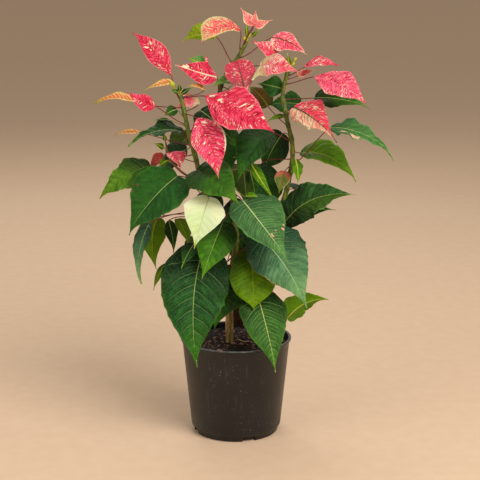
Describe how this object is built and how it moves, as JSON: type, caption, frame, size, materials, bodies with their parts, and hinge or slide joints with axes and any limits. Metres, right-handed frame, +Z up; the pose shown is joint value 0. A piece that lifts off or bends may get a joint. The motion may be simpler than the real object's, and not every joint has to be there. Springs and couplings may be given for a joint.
{
  "type": "potted poinsettia",
  "caption": "Potted house plant with speckled red, pink and cream bracts above dark green leaves, in a tapered black nursery pot that stands on its flat base.",
  "frame": {"origin": "centre of the pot's flat base, on the surface that the pot stands on", "axes": "+Z up along the pot's axis and the plant's height, -Y towards the viewer of the pictured side, +X to that viewer's right"},
  "size_m": [0.3135, 0.206, 0.4562],
  "materials": {
    "black_plastic": "satin",
    "potting_mix": "matte",
    "bark": "matte",
    "green_stem": "satin",
    "bract_crimson": "matte",
    "bract_pink": "matte",
    "leaf_cream": "matte",
    "leaf_green": "satin",
    "leaf_bright": "satin",
    "leaf_olive": "satin"
  },
  "bodies": {
    "root": {"pot": "black_plastic", "soil": "potting_mix", "trunk": "bark", "stem_centre": "green_stem", "stem_left": "green_stem", "stem_right": "green_stem", "side_shoot": "green_stem", "bract_crown": "bract_pink", "bract_back_left": "leaf_bright", "bract_dome": "leaf_cream", "bract_top_right": "bract_pink", "bract_pale": "bract_pink", "bract_mottled": "bract_pink", "bract_upright": "bract_pink", "bract_front": "bract_crimson", "bract_hanging": "bract_crimson", "bract_middle_left": "bract_pink", "bract_upper_left": "bract_crimson", "bract_behind_left": "bract_pink", "bract_right_small": "bract_crimson", "bract_right": "bract_crimson", "bract_striped": "bract_pink", "bract_far_left": "leaf_cream", "bract_left_low": "bract_crimson", "bract_curled": "bract_pink", "leaf_shaded": "leaf_green", "leaf_centre": "leaf_green", "leaf_behind_right": "leaf_green", "leaf_front_right": "leaf_green", "leaf_under_front": "leaf_green", "leaf_yellowing": "leaf_olive", "leaf_over_pot": "leaf_green", "leaf_low_right": "leaf_bright", "leaf_big_left": "leaf_green", "leaf_by_trunk": "leaf_green", "leaf_cream": "leaf_cream", "leaf_above_cream": "leaf_green", "leaf_far_left": "leaf_green", "leaf_leftmost": "leaf_bright", "leaf_left_narrow": "leaf_green", "leaf_left_olive": "leaf_olive", "leaf_left_dark": "leaf_green", "leaf_left_folded": "leaf_olive", "leaf_below_cream": "leaf_green", "leaf_small_dark": "leaf_green", "leaf_right_bright": "leaf_bright", "leaf_hanging_small": "leaf_bright", "leaf_right_dark": "leaf_green", "leaf_right_long": "leaf_green", "leaf_under_right": "leaf_green", "leaf_behind_top": "leaf_green", "leaf_brown_olive": "leaf_olive", "leaf_left_flat": "leaf_green", "leaf_behind_curl": "leaf_green", "leaf_back_top": "leaf_green", "leaf_back_upper_left": "leaf_green", "leaf_back_middle": "leaf_green", "leaf_back_left": "leaf_green", "leaf_back_right": "leaf_green", "leaf_back_low": "leaf_green"}
  },
  "joints": []
}
